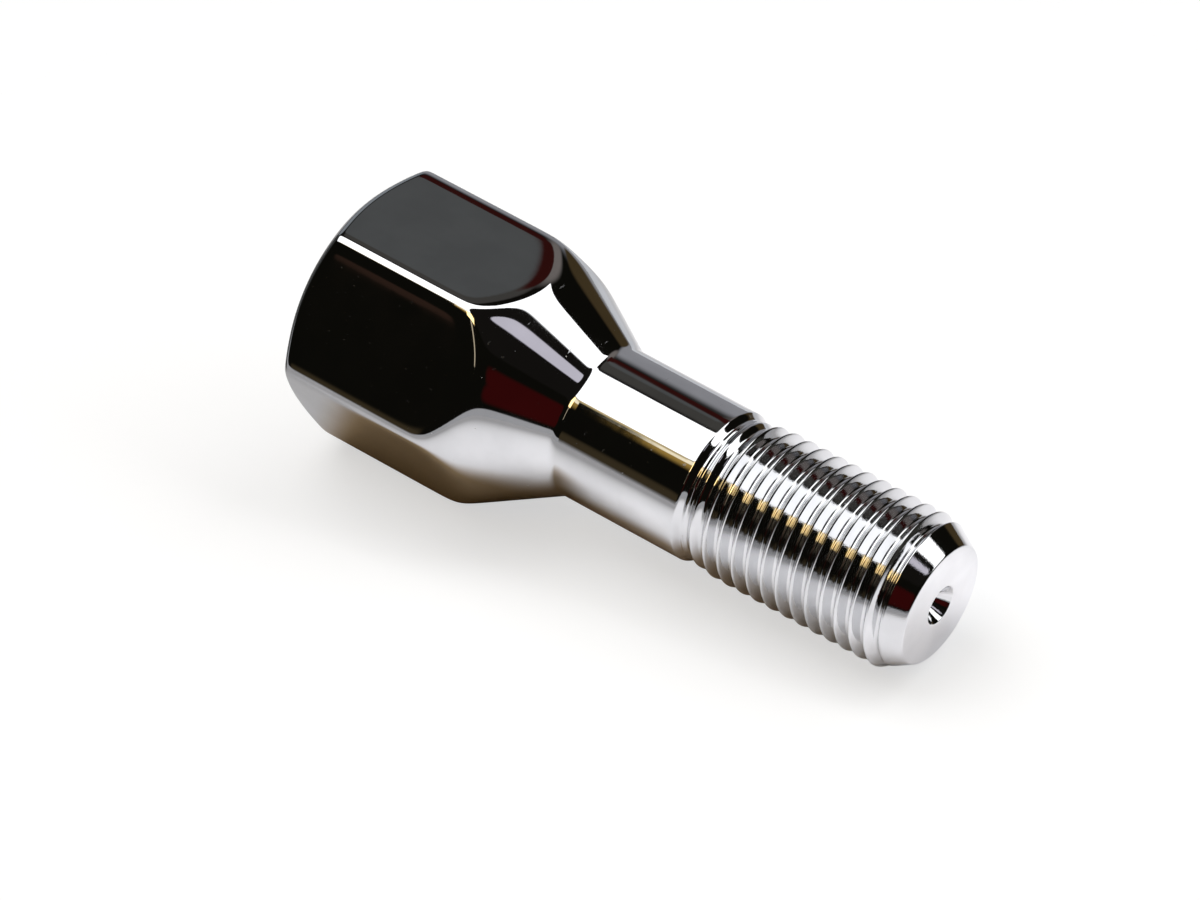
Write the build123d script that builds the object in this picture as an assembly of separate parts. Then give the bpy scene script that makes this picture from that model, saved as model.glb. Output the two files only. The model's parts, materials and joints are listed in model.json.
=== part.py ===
from build123d import *
import os
from math import asin, atan2, degrees, hypot, radians, sqrt, tan

# Wheel bolt: hexagon head, cone seat, plain shank and threaded end, turned from one bar.
# Millimetres. It is modelled along X, with its crown face at x = 0 and its tip at the far end,
# and then laid down as it rests on a table: tip down, on the seat-side rim of its lowest flat
# and on the end of its thread. +Z is up, and the origin is on the table under the middle of
# the bolt's bounding box.

# Lengths along the axis
overall_length = 61.0        # crown face to tip face
head_length = 25.7           # crown face to the small end of the cone seat
thread_length = 18.6         # tip face to the last full turn of the thread
runout_length = 3.2          # where the thread fades out towards the shank
neck_length = 0.15           # bare ring between the run-out and the shank's taper

# Head
across_flats = 22.0
head_edge_radius = 1.0       # rounding of the long edges and of both rims of the flats
crown_margin = 0.7           # from the rim of the crown face to each flat
crown_angle = 30.0           # of the crown chamfer, from the crown face
seat_angle = 60.0            # included angle of the cone seat

# Shank, thread and tip
shank_diameter = 13.9
seat_fillet_radius = 3.0     # between the cone seat and the shank
thread_diameter = 14.0
neck_diameter = 13.0
neck_angle = 30.0            # of the shank's taper to the neck, from the axis
tip_face_diameter = 10.9
tip_angle = 30.0             # of the tip chamfer, from the axis

# Centre hole in the tip face
hole_mouth_diameter = 3.6
hole_mouth_angle = 60.0      # included angle of the countersink
pilot_diameter = 1.6
pilot_length = 1.8
pilot_point_angle = 118.0    # included angle of the drill point

# Radii and places that follow from the sizes above
flat_radius = across_flats / 2
bar_radius = across_flats / sqrt(3)
crown_radius = flat_radius - crown_margin
shank_radius = shank_diameter / 2
thread_radius = thread_diameter / 2
neck_radius = neck_diameter / 2
tip_radius = tip_face_diameter / 2

seat_slope = tan(radians(seat_angle / 2))
crown_chamfer_length = (bar_radius - crown_radius) * tan(radians(crown_angle))
seat_top = head_length - (bar_radius - shank_radius) / seat_slope
seat_rim = head_length - (flat_radius - shank_radius) / seat_slope
thread_end = overall_length - thread_length
neck_end = thread_end - runout_length
neck_start = neck_end - neck_length
shank_end = neck_start - (shank_radius - neck_radius) / tan(radians(neck_angle))
tip_chamfer_start = overall_length - (thread_radius - tip_radius) / tan(radians(tip_angle))


def turned_blank():
    """The bar turned about X: crown chamfer, cone seat, shank, neck, thread and tip."""
    seat_foot = (head_length, shank_radius)
    outline = Polyline(
        (0, 0),
        (0, crown_radius),
        (crown_chamfer_length, bar_radius),
        (seat_top, bar_radius),
        seat_foot,
        (shank_end, shank_radius),
        (neck_start, neck_radius),
        (neck_end, neck_radius),
        (thread_end, thread_radius),
        (tip_chamfer_start, thread_radius),
        (overall_length, tip_radius),
        (overall_length, 0),
        close=True,
    )
    section = make_face(outline)
    foot_corner = section.vertices().sort_by_distance(Vertex(*seat_foot))[0]
    return revolve(Plane.XZ * fillet(foot_corner, seat_fillet_radius), Axis.X)


def hexagon_bar():
    """The hexagon, as long as the bolt, with a flat at the top and one at the bottom."""
    return extrude(Plane.YZ * RegularPolygon(flat_radius, 6, major_radius=False), overall_length)


def flat_outlines(blank):
    """The edges round the six flats: their long sides, and the arcs where both cones cut them."""
    long_sides = blank.edges().filter_by(GeomType.LINE).filter_by(
        lambda edge: hypot(edge.center().Y, edge.center().Z) > flat_radius
    )
    return long_sides + blank.edges().filter_by(GeomType.HYPERBOLA)


def headed_blank():
    """The turned blank with its six flats cut, and every edge of a flat rounded."""
    blank = turned_blank() & hexagon_bar()
    return fillet(flat_outlines(blank), head_edge_radius)


def centre_hole():
    """The countersunk centre hole that the lathe's centre ran in."""
    mouth_radius = hole_mouth_diameter / 2
    pilot_radius = pilot_diameter / 2
    pilot_top = overall_length - (mouth_radius - pilot_radius) / tan(radians(hole_mouth_angle / 2))
    pilot_end = pilot_top - pilot_length
    point = pilot_end - pilot_radius / tan(radians(pilot_point_angle / 2))
    outline = Polyline(
        (overall_length, 0),
        (overall_length, mouth_radius),
        (pilot_top, pilot_radius),
        (pilot_end, pilot_radius),
        (point, 0),
        close=True,
    )
    return revolve(Plane.XZ * make_face(outline), Axis.X)


def rest_tilt():
    """The axis's slope in degrees when the rounded rim of a flat and the thread's end share a table."""
    rim_centre = seat_rim - head_edge_radius * tan(radians(seat_angle / 4))
    run = tip_chamfer_start - rim_centre
    rise = flat_radius - head_edge_radius - thread_radius
    return degrees(atan2(rise, run) + asin(head_edge_radius / hypot(run, rise)))


def laid_down(bolt):
    """The bolt tilted tip down, set on z = 0 and centred over the origin."""
    tilted = Rot(0, rest_tilt(), 0) * bolt
    box = tilted.bounding_box()
    middle = box.center()
    return Pos(-middle.X, -middle.Y, -box.min.Z) * tilted


wheel_bolt = laid_down(headed_blank() - centre_hole())
os.makedirs("parts", exist_ok=True)
export_step(wheel_bolt, "parts/wheel_bolt.step")
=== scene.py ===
import json
from math import cos, pi, radians, sin, sqrt, tan

import bpy
import numpy as np
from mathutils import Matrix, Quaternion, Vector


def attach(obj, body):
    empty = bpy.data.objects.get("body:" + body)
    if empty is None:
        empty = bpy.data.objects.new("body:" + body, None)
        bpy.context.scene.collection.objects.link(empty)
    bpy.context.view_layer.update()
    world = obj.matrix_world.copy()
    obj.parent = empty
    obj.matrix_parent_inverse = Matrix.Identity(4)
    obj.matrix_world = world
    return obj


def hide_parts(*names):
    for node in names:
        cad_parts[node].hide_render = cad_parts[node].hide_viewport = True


# A chromed wheel bolt lying on a white table under white light panels.
# The bolt is worked out along its own axis, with x = 0 at the crown face and x = overall_length
# at the tip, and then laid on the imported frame's axis. Metres throughout.

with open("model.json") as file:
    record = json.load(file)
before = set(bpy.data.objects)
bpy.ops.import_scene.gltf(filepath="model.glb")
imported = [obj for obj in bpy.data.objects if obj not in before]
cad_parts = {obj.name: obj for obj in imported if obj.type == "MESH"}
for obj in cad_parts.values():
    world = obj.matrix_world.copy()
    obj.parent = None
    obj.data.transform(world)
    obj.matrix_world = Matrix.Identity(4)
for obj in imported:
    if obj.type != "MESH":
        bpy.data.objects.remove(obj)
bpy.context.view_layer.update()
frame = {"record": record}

mm = 0.001
origin = (0.0, 0.0, 0.0)

# Lengths along the axis
overall_length = 61.0 * mm
head_length = 25.7 * mm
thread_length = 18.6 * mm
runout_length = 3.2 * mm
neck_length = 0.15 * mm

# Head
across_flats = 22.0 * mm
edge_sharpness = 36                # power of the sum that rounds the long edges between two flats
crown_sharpness = 44               # and the end of a flat at the crown
seat_sharpness = 40                # and its end at the cone seat
crown_margin = 0.7 * mm            # from the rim of the crown face to each flat
crown_slope = tan(radians(30))
crown_rim_setback = 0.3 * mm
seat_slope = tan(radians(30))
blank_share = 1.5                  # turned blank's radius over the flats': clear of the hexagon's corners

# Shank and neck
shank_radius = 6.95 * mm
seat_fillet_setback = 0.40 * mm
neck_radius = 6.50 * mm
neck_slope = tan(radians(30))
taper_inset = 0.12 * mm            # by which the taper starts later, and ends earlier, than at that slope
taper_lead = 0.8 * mm              # last stretch of the shank, in one row
shank_rim_setback = 0.12 * mm
neck_rim_setback = 0.08 * mm

# Thread
crest_radius = 7.0 * mm
root_radius = 6.08 * mm
pitch = 1.5 * mm
crest_start = 42.358 * mm          # where a crest crosses angle 0
crest_flat = pitch / 13
flank_slope = sqrt(3)
crest_rounding = 0.15 * mm
root_rounding = 0.16 * mm
runout_power = 1.6
groove_start_power = 0.6
groove_fade = 1.2 * mm
groove_end_margin = 0.8 * mm       # from the end of the grooves to the tip face

# Tip, and the centre hole in its face
tip_radius = 5.45 * mm
tip_slope = tan(radians(30))
tip_chamfer_rounding = 0.08 * mm
tip_rim_setback = 0.15 * mm
hole_mouth_radius = 1.8 * mm
hole_mouth_slope = tan(radians(30))
hole_rim_setback = 0.06 * mm
pilot_radius = 0.8 * mm
pilot_length = 1.8 * mm
pilot_point_slope = tan(radians(59))

# Places that follow
flat_radius = across_flats / 2
crown_radius = flat_radius - crown_margin
blank_radius = blank_share * flat_radius
crown_end = (blank_radius - crown_radius) * crown_slope
seat_top = head_length - (blank_radius - shank_radius) / seat_slope
seat_rim = head_length - (flat_radius - shank_radius) / seat_slope
past_seat_fillet = head_length + 2 * seat_fillet_setback
thread_end = overall_length - thread_length
neck_end = thread_end - runout_length
neck_start = neck_end - neck_length
shank_end = neck_start - (shank_radius - neck_radius) / neck_slope
tip_chamfer_start = overall_length - (crest_radius - tip_radius) / tip_slope
groove_end = overall_length - groove_end_margin
pilot_top = overall_length - (hole_mouth_radius - pilot_radius) / hole_mouth_slope
pilot_end = pilot_top - pilot_length
pilot_point = pilot_end - pilot_radius / pilot_point_slope

# Fineness of the mesh
sixth_columns = 30
corner_draw = 0.75
rounding_rows = 7
rows_per_pitch = 20
row_shares = (0, 0.20, 0.30, 0.70, 0.80, 1)        # of a pitch's rows, up to each place in the pitch
pitch_shares = (0, 0.125, 0.34, 0.66, 0.875, 1)    # ends of the crest, the flank and the root
turns_before = 3                   # turns of rows to spare at the neck, for every column to reach it
turns_after = 1                    # and past the end of the grooves
merge_digits = 5                   # of a millimetre, to which points that coincide agree

# Chrome plate
chrome_pale = (0.72, 0.725, 0.74, 1)
chrome_deep = (0.67, 0.675, 0.69, 1)
dust = (0.85, 0.84, 0.82, 1)
roughness_least = 0.025
roughness_most = 0.055
roughness_thread = 0.045
roughness_scratch = 0.22
roughness_dust = 0.75
cloud_scale = 260
cloud_detail = 3
cloud_colours = (0.35, 0.65)       # noise at which the deep colour ends and the pale one starts
cloud_glosses = (0.3, 0.7)         # and those of the least and the most roughness
wave_height = 0.000003
grain_scale = 9000
grain_detail = 2
grain_height = 0.000003
scratch_scale = 60
scratch_detail = 1
scratch_turn = (0.3, 0.5, 0.4)
scratch_stretch = (40, 3, 40)
scratch_start = 0.74
scratch_full = 0.78
rim_fade = 1.0 * mm
speck_cells = 900
speck_core = 0.025
speck_rim = 0.055
speck_share_cone = 0.55            # share of the cells that stay clean, on the cone seat
speck_share_else = 0.95            # and elsewhere

# Camera, in the photograph's place
camera_target = Vector((-0.00204, -0.00333, 0.01039))
camera_distance = 0.552
camera_azimuth = radians(37.363)
camera_elevation = radians(37.130)
camera_roll = radians(-0.893)
focal_length = 196.13              # in millimetres, and so is the sensor's width
sensor_width = 36.0
nearest_seen = 0.01

# Table
table_radius = 0.13
table_sides = 96
table_fade_start = 0.05
table_white = (0.9, 0.9, 0.9, 1)
table_lit = (0.91, 0.915, 0.95, 1)       # as the chrome sees it, in a painted pool of light
table_dim = (0.36, 0.36, 0.37, 1)        # and further off, where the painted pool of light has faded
pool_centre = (0.030, 0.0, 0.0)
lit_reach = 0.030
dim_reach = 0.085
table_painted_shadow = (0.40, 0.31, 0.22, 1)      # and under the bolt, within an ellipse: a painted brown shadow
under_centre = (0.003, 0.0, 0.0)
under_size = (0.022, 0.0085, 1.0)
under_core = 0.65
under_rim = 1.25
table_painted_light_and_shade = [                        # and in round patches of painted light and painted shade: centre, core and rim radii, colour
    # in turn: painted light by the tip, painted shade far beyond the crown, painted light behind the bolt,
    # painted brown shadow under the head
    ((0.034, 0.003, 0.0), 0.006, 0.014, (1.10, 1.10, 1.14, 1)),
    ((-0.085, -0.005, 0.0), 0.025, 0.045, (0.06, 0.06, 0.06, 1)),
    ((-0.020, 0.090, 0.0), 0.025, 0.055, (0.55, 0.57, 0.61, 1)),
    ((-0.019, -0.006, 0.0), 0.009, 0.0145, (0.34, 0.25, 0.15, 1)),
]
shadow_lift = 0.6                        # share by which the camera sees the shadow lightened

# Room that the chrome reflects. Patches are round: azimuth from the front towards +X, elevation,
# radii of core and rim, all in degrees, and colour. Panels are rectangles on the plane one unit
# overhead: left, right, front and back, then softness and colour.
room_dark = (0.0045, 0.0042, 0.0030, 1)
room_below = (0.40, 0.40, 0.41, 1)
backdrop_white = (1, 1, 1, 1)
panel_white = (4.2, 4.2, 4.2, 1)
horizon = (-0.012, 0.004)                # upward shares of a direction where the room below ends
least_upward = 0.05                      # least upward share that a place overhead is worked out from
room_patches = [
    (118, -3, 20, 27, (0.035, 0.035, 0.030, 1)),
    (-95, 6, 22, 34, (0.05, 0.05, 0.05, 1)),
    (-154.9, 4.2, 14, 30, (0.30, 0.30, 0.32, 1)),
    (-172, 36, 6, 16, (0.18, 0.16, 0.15, 1)),
    (-150, 53, 6, 12, (0.060, 0.057, 0.052, 1)),
    (-147, 42, 4, 7, (0.087, 0.090, 0.090, 1)),
    (-161, 43.5, 4.5, 6.5, (0.034, 0.006, 0.005, 1)),
    (-156.5, 40.5, 3.0, 5.0, (0.034, 0.006, 0.005, 1)),
    (-150.6, 36.4, 3.1, 3.6, (0.034, 0.006, 0.005, 1)),
    (177, 2, 7, 13, (0.058, 0.040, 0.018, 1)),
    (35.5, 11, 5, 10, (0.038, 0.003, 0.003, 1)),
    (40.5, 21.5, 5.5, 10, (0.038, 0.003, 0.003, 1)),
    (-24, 3, 1, 9, (0.045, 0.033, 0.017, 1)),
    (-128, 22, 13, 18, (0.25, 0.27, 0.29, 1)),
    (-26.5, 17.5, 0.6, 1.6, (0.030, 0.016, 0.011, 1)),
]
ledge_start = -0.4170                    # share of the bolt's axis in a direction where the ledge starts
ledge_softness = 0.0006
ledge_panels = [
    ((-0.60, -0.15, -0.90, -0.62), 0.14, (0.42, 0.26, 0.06, 1)),
    ((-0.60, -0.15, -0.735, -0.608), 0.010, (1.25, 1.10, 0.78, 1)),
]
light_panels = [
    ((0.03, 0.13, -2.2, -0.9), 0.02, (0.6, 0.5, 0.35, 1)),
    ((-0.60, -0.40, -0.64, -0.57), 0.02, (0.6, 0.46, 0.22, 1)),
    ((-0.90, 0.30, -0.573, 0.358), 0.02, panel_white),
    ((0.10, 1.80, 0.29, 1.03), 0.02, panel_white),
]
gloss_limit = (1.9, 1.9, 1.9)            # brightest light of the panels above that the chrome shows
glint_panels = [
    ((-0.15, 0.28, -1.06, -0.61), 0.03, (3.2, 2.25, 0.95, 1)),
]
screen_patches = [                       # laid over the panels
    (64.6, 62.9, 26, 28, (0.008, 0.007, 0.006, 1)),
    (85, 53, 5.5, 6.8, (0.68, 0.65, 0.73, 1)),
]


def smooth_min(a, b, reach):
    """The smaller of a and b; where they differ by less than reach, a parabola joins the two."""
    nearness = np.maximum(1 - np.abs(a - b) / reach, 0.0)
    return np.minimum(a, b) - nearness ** 2 * reach / 4


def power_sum(a, b, sharpness):
    """The nearer of two surfaces, softly joined: 1 / r^n = 1 / a^n + 1 / b^n, from the smaller one."""
    near, far = np.minimum(a, b), np.maximum(a, b)
    return near * (1 + (near / far) ** sharpness) ** (-1 / sharpness)


def head_radius(turned, sharpness, angle):
    """Axis to head: the power sum of the turned outline and of the hexagon's flats.

    A flat at angle m is flat_radius / cos(angle - m) from the axis; the flats on both sides of the
    nearest one matter too. The power sets how softly two surfaces run into each other.
    """
    middle = np.mod(np.round(angle / (pi / 3) - 0.5), 6) + 0.5
    before, nearest, after = (flat_radius / np.cos(angle - (middle + step) * pi / 3) for step in (-1, 0, 1))
    hexagon = power_sum(nearest, np.abs(before), edge_sharpness)
    hexagon = power_sum(hexagon, np.abs(after), edge_sharpness)
    return power_sum(turned, hexagon, sharpness)


def column_angles():
    """Angles once round the axis, with each sixth's columns drawn towards its corners by a sine."""
    share = (np.arange(sixth_columns) + 0.5) / sixth_columns - 0.5
    sixth = (share + corner_draw * np.sin(2 * pi * share) / (2 * pi)) * pi / 3
    angles = ((np.arange(6)[:, None] + 0.5) * pi / 3 + sixth).ravel()
    return np.append(angles, angles[0] + 2 * pi)


def turned_outline(corners):
    """Rows (x, r) along a turned outline.

    Each corner is x, r, setback and rows: the corner is rounded by a parabola that starts at the
    setback on both sides, and the straight run after it is cut into that many rows.
    """
    place = np.array([corner[:2] for corner in corners])
    setback = np.array([corner[2] for corner in corners])[:, None]
    run = np.diff(place, axis=0)
    run /= np.linalg.norm(run, axis=1)[:, None]
    before = place - setback * np.vstack([run[:1], run])
    after = place + setback * np.vstack([run, run[-1:]])
    step = np.linspace(0, 1, rounding_rows)[None, :, None]
    rounding = (1 - step) ** 2 * before[:, None]
    rounding = rounding + 2 * step * (1 - step) * place[:, None]
    rounding = rounding + step ** 2 * after[:, None]
    pieces = []
    for i, (_, _, size, rows) in enumerate(corners):
        pieces.append(rounding[i] if size else place[i:i + 1])
        if rows:
            share = np.linspace(0, 1, rows, endpoint=False)[1:, None]
            pieces.append(after[i] + share * (before[i + 1] - after[i]))
    return np.concatenate(pieces)


def bolt_axes():
    """The bolt's axis towards its tip, the directions across and above it, and the crown face's centre."""
    mount = next(m for m in frame["record"]["mounts"] if m["name"] == "thread")
    axis = np.array(mount["axis"])
    across = np.array([0.0, 1.0, 0.0])
    crown = np.array(mount["pos_m"]) - axis * (thread_end + tip_chamfer_start) / 2
    return axis, across, np.cross(axis, across), crown


def laid_on_axis(x, r, angle):
    """Points at x along the bolt's axis, r from it and angle round it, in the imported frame."""
    axis, across, up, crown = bolt_axes()
    x, r, angle = (part[..., None] for part in np.broadcast_arrays(x, r, angle))
    return crown + x * axis + r * np.cos(angle) * across + r * np.sin(angle) * up


def head_and_shank(angles):
    """The turned outline from crown to neck, its radius softly limited by the six flats."""
    outline = turned_outline([
        (0, 0, 0, 4),
        (0, crown_radius, crown_rim_setback, 36),
        (crown_end, blank_radius, 0, 10),
        (seat_top, blank_radius, 0, 80),
        (head_length, shank_radius, seat_fillet_setback, 1),
        (past_seat_fillet, shank_radius, 0, 8),
        (shank_end - taper_lead, shank_radius, 0, 1),
        (shank_end + taper_inset, shank_radius, shank_rim_setback, 3),
        (neck_start - taper_inset, neck_radius, neck_rim_setback, 2),
        (neck_end, neck_radius, 0, 0),
    ])
    x, r = outline[:, :1], outline[:, 1:]
    sharpness = np.where(x < (crown_end + seat_top) / 2, crown_sharpness, seat_sharpness)
    return laid_on_axis(x, head_radius(r, sharpness, angles), angles)


def thread_radius(x, angle):
    """Axis to thread: flanks of 60 degrees between flat crests and round roots, on a right-hand helix.

    The crests rise from the neck along the run-out, and the grooves end on the tip chamfer.
    """
    turn = np.mod((x - crest_start) / pitch - angle / (2 * pi) + 0.5, 1.0) - 0.5
    below_crest = (np.abs(turn) * pitch - crest_flat / 2) * flank_slope
    below_crest = -smooth_min(-below_crest, 0.0, crest_rounding)
    depth = smooth_min(below_crest, crest_radius - root_radius, root_rounding)
    grown = np.clip((x - neck_end) / runout_length, 0, 1)
    cut = grown ** groove_start_power
    left = np.clip((groove_end - x) / groove_fade, 0, 1)
    envelope = crest_radius - (crest_radius - neck_radius) * (1 - grown) ** runout_power
    chamfer = tip_radius + (overall_length - x) * tip_slope
    return smooth_min(envelope - depth * cut * left, chamfer, tip_chamfer_rounding)


def threaded_end(angles):
    """Rows that climb with the helix, closest at crest and root, held between neck and tip chamfer."""
    first = int((neck_end - crest_start) / pitch) - turns_before
    last = int((groove_end - crest_start) / pitch) + turns_after
    row = np.arange(first * rows_per_pitch, last * rows_per_pitch + 1)
    place = np.interp(row % rows_per_pitch / rows_per_pitch, row_shares, pitch_shares)
    turns = (row // rows_per_pitch + place)[:, None] + angles / (2 * pi)
    x = np.clip(crest_start + pitch * turns, neck_end, groove_end)
    return laid_on_axis(x, thread_radius(x, angles), angles)


def tip_and_hole(angles):
    """The turned outline from the end of the grooves over the tip face into the centre hole."""
    outline = turned_outline([
        (groove_end, tip_radius + (overall_length - groove_end) * tip_slope, 0, 3),
        (overall_length, tip_radius, tip_rim_setback, 6),
        (overall_length, hole_mouth_radius, hole_rim_setback, 4),
        (pilot_top, pilot_radius, hole_rim_setback, 4),
        (pilot_end, pilot_radius, 0, 3),
        (pilot_point, 0, 0, 0),
    ])
    return laid_on_axis(outline[:, :1], outline[:, 1:], angles)


def joined_mesh(name, grids):
    """One closed mesh from grids of points.

    Each grid's squares are cut into triangles, points that coincide at seams, rings and poles
    become one point, and triangles left without area are dropped.
    """
    corners = []
    first = 0
    for grid in grids:
        index = first + np.arange(grid.shape[0] * grid.shape[1]).reshape(grid.shape[:2])
        first += index.size
        a, b, c, d = index[:-1, :-1], index[:-1, 1:], index[1:, 1:], index[1:, :-1]
        corners += [np.stack([a, b, c], -1).reshape(-1, 3), np.stack([a, c, d], -1).reshape(-1, 3)]
    points = np.concatenate([grid.reshape(-1, 3) for grid in grids])
    rounded = np.round(points / mm, merge_digits)
    _, kept, same = np.unique(rounded, axis=0, return_index=True, return_inverse=True)
    faces = same.reshape(-1)[np.concatenate(corners)]
    whole = (faces[:, 0] != faces[:, 1]) & (faces[:, 1] != faces[:, 2]) & (faces[:, 2] != faces[:, 0])
    mesh = bpy.data.meshes.new(name)
    mesh.from_pydata(points[kept].tolist(), [], faces[whole].tolist())
    mesh.shade_smooth()
    piece = bpy.data.objects.new(name, mesh)
    bpy.context.scene.collection.objects.link(piece)
    return piece


def joined(tree, kind, settings, values):
    """A new node with its settings, each input given as a number, a tuple or another node's output."""
    node = tree.nodes.new(kind)
    for name, setting in settings.items():
        setattr(node, name, setting)
    for place, value in values.items():
        if isinstance(value, bpy.types.NodeSocket):
            tree.links.new(value, node.inputs[place])
        else:
            node.inputs[place].default_value = value
    return node


def combined(tree, operation, a, b):
    """Two values made one by a step of arithmetic."""
    return joined(tree, "ShaderNodeMath", {"operation": operation}, {0: a, 1: b}).outputs[0]


def combined_vectors(tree, operation, a, b, result):
    """Two vectors made one Vector or one Value by a step of arithmetic."""
    node = joined(tree, "ShaderNodeVectorMath", {"operation": operation}, {0: a, 1: b})
    return node.outputs[result]


def rise(tree, value, start, end):
    """A soft step from 0 at start to 1 at end."""
    settings = {"interpolation_type": "SMOOTHSTEP"}
    return joined(tree, "ShaderNodeMapRange", settings, {0: value, 1: start, 2: end}).outputs[0]


def over(tree, share, under, top):
    """The colour top laid over the colour under, by share."""
    node = joined(tree, "ShaderNodeMix", {"data_type": "RGBA"}, {0: share, 6: under, 7: top})
    return node.outputs[2]


def over_value(tree, share, under, top):
    """The value top laid over the value under, by share."""
    return joined(tree, "ShaderNodeMix", {}, {0: share, 2: under, 3: top}).outputs[0]


def noise(tree, place, scale, detail):
    """Noise from 0 to 1, about 1 / scale metres from wave to wave."""
    values = {"Vector": place, "Scale": scale, "Detail": detail}
    return joined(tree, "ShaderNodeTexNoise", {}, values).outputs[0]


def dust_specks(tree, place, along, seat, shank):
    """Specks of dust: the middles of a few cells of a Voronoi pattern, and of more on the cone seat."""
    cells = joined(tree, "ShaderNodeTexVoronoi", {}, {"Vector": place, "Scale": speck_cells})
    lucky = joined(tree, "ShaderNodeSeparateColor", {}, {0: cells.outputs["Color"]}).outputs[0]
    specks = rise(tree, cells.outputs["Distance"], speck_rim, speck_core)
    past_seat_rim = rise(tree, along, seat - rim_fade, seat)
    before_shank = rise(tree, along, shank + rim_fade, shank)
    cone = combined(tree, "MULTIPLY", past_seat_rim, before_shank)
    clean = over_value(tree, cone, speck_share_else, speck_share_cone)
    return combined(tree, "MULTIPLY", specks, combined(tree, "GREATER_THAN", lucky, clean))


def chrome():
    """Bright chrome plate: slightly cloudy, with hair scratches, dust and a finely grained thread.

    Clouds and grain are noise, and scratches are noise drawn out along one direction and cut off
    near its highest value.
    """
    material = bpy.data.materials.new("chrome_plate")
    material.use_nodes = True
    tree = material.node_tree
    shader = tree.nodes["Principled BSDF"]
    shader.inputs["Metallic"].default_value = 1.0
    place = joined(tree, "ShaderNodeTexCoord", {}, {}).outputs["Object"]
    axis, _, _, crown = bolt_axes()
    along = combined_vectors(tree, "DOT_PRODUCT", place, axis, "Value")
    seat, shank, start = (float(axis @ crown) + x for x in (seat_rim, head_length, neck_end))
    thread = rise(tree, along, start, start + runout_length)

    clouds = noise(tree, place, cloud_scale, cloud_detail)
    grain = noise(tree, place, grain_scale, grain_detail)
    turn = {0: place, 2: scratch_turn, 3: scratch_stretch}
    turned = joined(tree, "ShaderNodeMapping", {}, turn).outputs[0]
    streaks = noise(tree, turned, scratch_scale, scratch_detail)
    scratches = rise(tree, streaks, scratch_start, scratch_full)
    specks = dust_specks(tree, place, along, seat, shank)

    colour = over(tree, rise(tree, clouds, *cloud_colours), chrome_deep, chrome_pale)
    colour = over(tree, specks, colour, dust)
    tree.links.new(colour, shader.inputs["Base Color"])
    gloss = over_value(tree, rise(tree, clouds, *cloud_glosses), roughness_least, roughness_most)
    gloss = over_value(tree, thread, gloss, roughness_thread)
    gloss = over_value(tree, scratches, gloss, roughness_scratch)
    gloss = over_value(tree, specks, gloss, roughness_dust)
    tree.links.new(gloss, shader.inputs["Roughness"])
    waves = joined(tree, "ShaderNodeBump", {}, {"Strength": 1.0, "Distance": wave_height, "Height": clouds})
    grained = joined(tree, "ShaderNodeBump", {}, {
        "Strength": thread,
        "Distance": grain_height,
        "Height": grain,
        "Normal": waves.outputs[0],
    })
    tree.links.new(grained.outputs[0], shader.inputs["Normal"])
    return material


def bolt():
    """The wheel bolt, one piece from crown to tip."""
    angles = column_angles()
    grids = [head_and_shank(angles), threaded_end(angles), tip_and_hole(angles)]
    piece = joined_mesh("chromed_wheel_bolt", grids)
    piece.data.materials.append(chrome())
    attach(piece, "root")
    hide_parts("wheel_bolt")


def table_reflected(tree, place):
    """The table's colour as the chrome sees it: a painted pool of light, a painted shadow under the bolt,
    and painted patches of light and shade.
    """
    from_pool = combined_vectors(tree, "DISTANCE", place, pool_centre, "Value")
    colour = over(tree, rise(tree, from_pool, lit_reach, dim_reach), table_lit, table_dim)
    # a painted brown shadow under the bolt, within an ellipse
    under = combined_vectors(tree, "SUBTRACT", place, under_centre, "Vector")
    under = combined_vectors(tree, "DIVIDE", under, under_size, "Vector")
    under = combined_vectors(tree, "DISTANCE", under, origin, "Value")
    colour = over(tree, rise(tree, under, under_rim, under_core), colour, table_painted_shadow)
    # round patches of painted light and painted shade
    for centre, core, rim, shade in table_painted_light_and_shade:
        away = combined_vectors(tree, "DISTANCE", place, centre, "Value")
        colour = over(tree, rise(tree, away, rim, core), colour, shade)
    return colour


def white_table():
    """A matt white that, to the camera, has a lightened shadow and fades out towards the edge; to other
    rays it shows painted light and shade.
    """
    material = bpy.data.materials.new("white_table")
    material.use_nodes = True
    tree = material.node_tree
    tree.nodes.remove(tree.nodes["Principled BSDF"])
    place = joined(tree, "ShaderNodeTexCoord", {}, {}).outputs["Object"]
    seen = joined(tree, "ShaderNodeLightPath", {}, {}).outputs["Is Camera Ray"]
    # rays other than the camera's see the table's painted light and shade
    colour = over(tree, seen, table_reflected(tree, place), table_white)
    matt = joined(tree, "ShaderNodeBsdfDiffuse", {}, {"Color": colour}).outputs[0]
    glow = joined(tree, "ShaderNodeEmission", {}, {}).outputs[0]
    lift = combined(tree, "MULTIPLY", seen, shadow_lift)
    white = joined(tree, "ShaderNodeMixShader", {}, {0: lift, 1: matt, 2: glow}).outputs[0]
    clear = joined(tree, "ShaderNodeBsdfTransparent", {}, {}).outputs[0]
    distance = combined_vectors(tree, "DISTANCE", place, origin, "Value")
    fading = combined(tree, "MULTIPLY", seen, rise(tree, distance, table_fade_start, table_radius))
    shown = joined(tree, "ShaderNodeMixShader", {}, {0: fading, 1: white, 2: clear}).outputs[0]
    tree.links.new(shown, tree.nodes["Material Output"].inputs["Surface"])
    return material


def floor():
    """A round white table top that fades into the backdrop."""
    turn = np.linspace(0, 2 * pi, table_sides, endpoint=False)
    ring = np.stack([np.cos(turn), np.sin(turn), np.zeros_like(turn)], -1) * table_radius
    mesh = bpy.data.meshes.new("table_top")
    mesh.from_pydata(ring.tolist(), [], [list(range(table_sides))])
    mesh.materials.append(white_table())
    piece = bpy.data.objects.new("table_top", mesh)
    bpy.context.scene.collection.objects.link(piece)


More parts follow.
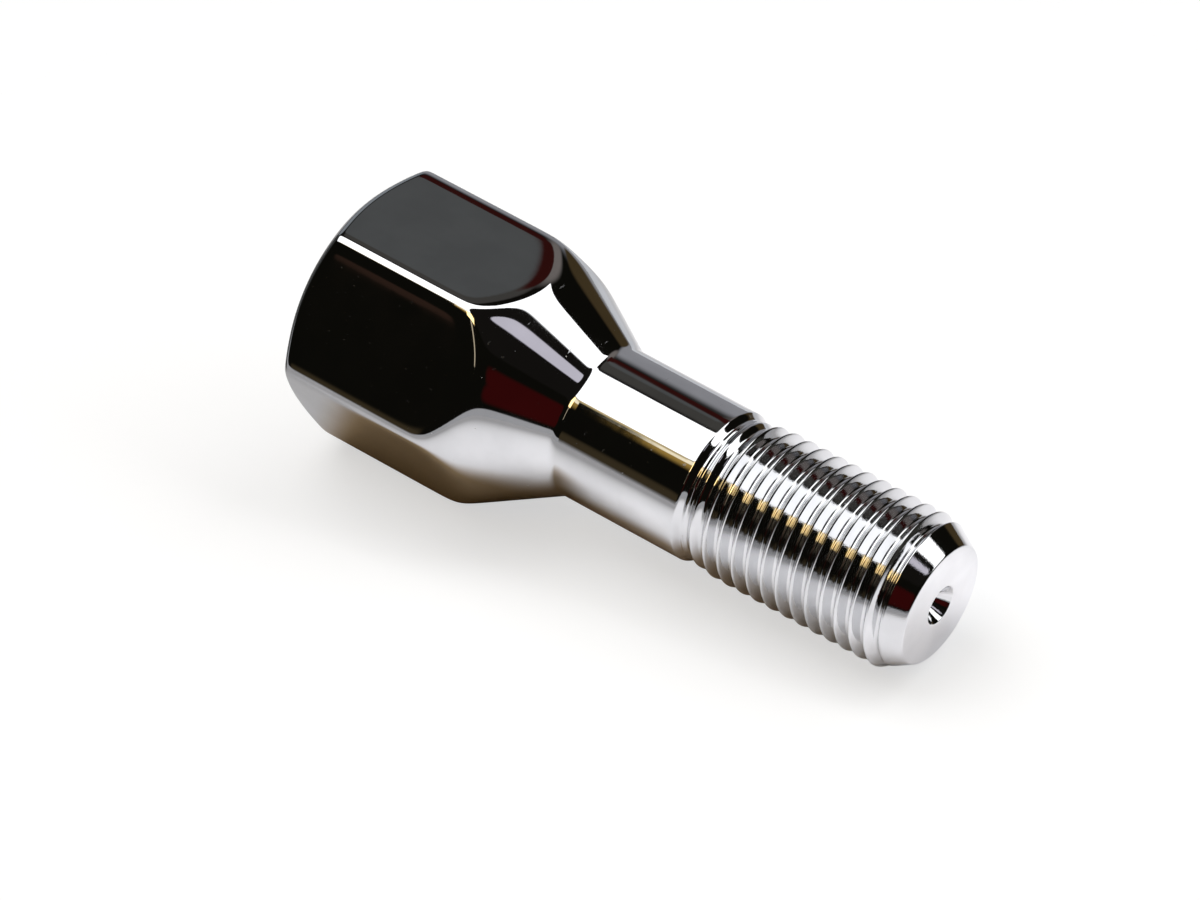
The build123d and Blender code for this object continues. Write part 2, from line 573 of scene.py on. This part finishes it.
def panel_share(tree, overhead, edges, softness):
    """1 inside the rectangle left, right, front, back on the plane one unit overhead, 0 outside."""
    across, along = overhead
    left, right, front, back = edges
    share = rise(tree, across, left - softness, left + softness)
    share = combined(tree, "MULTIPLY", share, rise(tree, across, right + softness, right - softness))
    share = combined(tree, "MULTIPLY", share, rise(tree, along, front - softness, front + softness))
    return combined(tree, "MULTIPLY", share, rise(tree, along, back + softness, back - softness))


def patch_share(tree, direction, azimuth, elevation, core, rim):
    """1 within core degrees of the direction at azimuth and elevation, fading to 0 at rim degrees."""
    azimuth, elevation = radians(azimuth), radians(elevation)
    centre = (cos(elevation) * sin(azimuth), -cos(elevation) * cos(azimuth), sin(elevation))
    nearness = combined_vectors(tree, "DOT_PRODUCT", direction, centre, "Value")
    return rise(tree, nearness, cos(radians(rim)), cos(radians(core)))


def with_panels(tree, colour, overhead, panels):
    """The colour with each panel laid over it."""
    for edges, softness, shade in panels:
        colour = over(tree, panel_share(tree, overhead, edges, softness), colour, shade)
    return colour


def with_patches(tree, colour, direction, patches):
    """The colour with each patch laid over it."""
    for azimuth, elevation, core, rim, shade in patches:
        share = patch_share(tree, direction, azimuth, elevation, core, rim)
        colour = over(tree, share, colour, shade)
    return colour


def with_ledge(tree, colour, direction, overhead):
    """The colour with the ledge's panels laid over it, from ledge_start on along the bolt's axis."""
    lengthways = combined_vectors(tree, "DOT_PRODUCT", direction, bolt_axes()[0], "Value")
    beyond = rise(tree, lengthways, ledge_start - ledge_softness, ledge_start + ledge_softness)
    for edges, softness, shade in ledge_panels:
        share = combined(tree, "MULTIPLY", panel_share(tree, overhead, edges, softness), beyond)
        colour = over(tree, share, colour, shade)
    return colour


def surroundings():
    """A dim room with light panels overhead; to the camera the backdrop is white."""
    world = bpy.data.worlds.new("room")
    bpy.context.scene.world = world
    world.use_nodes = True
    tree = world.node_tree
    direction = joined(tree, "ShaderNodeTexCoord", {}, {}).outputs["Generated"]
    parts = joined(tree, "ShaderNodeSeparateXYZ", {}, {0: direction})
    above = combined(tree, "MAXIMUM", parts.outputs["Z"], least_upward)
    overhead = [combined(tree, "DIVIDE", parts.outputs[name], above) for name in ("X", "Y")]
    path = joined(tree, "ShaderNodeLightPath", {}, {})

    colour = over(tree, rise(tree, parts.outputs["Z"], *horizon), room_below, room_dark)
    colour = with_patches(tree, colour, direction, room_patches)
    colour = with_ledge(tree, colour, direction, overhead)
    colour = with_panels(tree, colour, overhead, light_panels)
    limited = combined_vectors(tree, "MINIMUM", colour, gloss_limit, "Vector")
    colour = over(tree, path.outputs["Is Glossy Ray"], colour, limited)
    colour = with_panels(tree, colour, overhead, glint_panels)
    colour = with_patches(tree, colour, direction, screen_patches)
    colour = over(tree, path.outputs["Is Camera Ray"], colour, backdrop_white)
    tree.links.new(colour, tree.nodes["Background"].inputs["Color"])


def camera():
    """A long lens at the photograph's viewing angle."""
    data = bpy.data.cameras.new("camera")
    data.sensor_width = sensor_width
    data.lens = focal_length
    data.clip_start = nearest_seen
    piece = bpy.data.objects.new("camera", data)
    bpy.context.scene.collection.objects.link(piece)
    towards = Vector((
        cos(camera_elevation) * sin(camera_azimuth),
        -cos(camera_elevation) * cos(camera_azimuth),
        sin(camera_elevation),
    ))
    piece.location = camera_target + towards * camera_distance
    piece.rotation_mode = "QUATERNION"
    piece.rotation_quaternion = towards.to_track_quat("Z", "Y") @ Quaternion((0, 0, 1), camera_roll)
    bpy.context.scene.camera = piece


bolt()
floor()
surroundings()
camera()
bpy.context.scene.view_settings.view_transform = "Standard"
